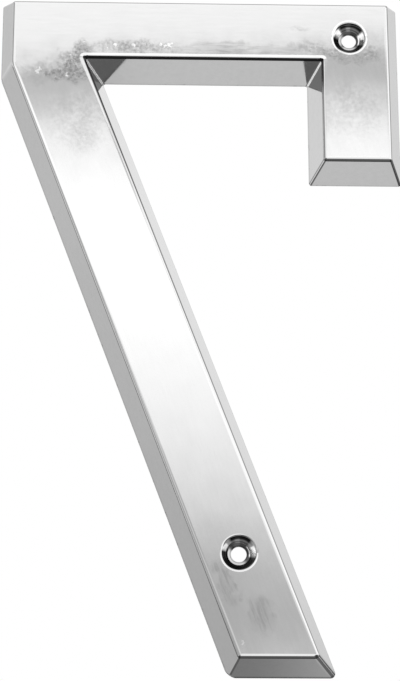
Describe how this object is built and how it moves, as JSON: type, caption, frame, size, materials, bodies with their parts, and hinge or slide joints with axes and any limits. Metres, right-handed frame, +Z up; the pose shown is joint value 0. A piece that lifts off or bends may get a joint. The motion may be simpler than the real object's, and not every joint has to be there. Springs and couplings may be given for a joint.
{
  "type": "house number",
  "caption": "Hollow cast house number seven with sloped sides and two countersunk screw holes, shown in mirror image as pictured.",
  "frame": {"origin": "on the wall plane, at the middle of the foot's lower edge", "axes": "+X to the right and +Z up for someone facing the front, +Y into the wall"},
  "size_m": [0.0886, 0.0082, 0.1518],
  "materials": {
    "satin_plate": "bright satin plating over a zinc casting, the front brushed and the sloped sides smooth and mirror-like"
  },
  "bodies": {
    "root": {"numeral_seven": "satin_plate"}
  },
  "joints": []
}
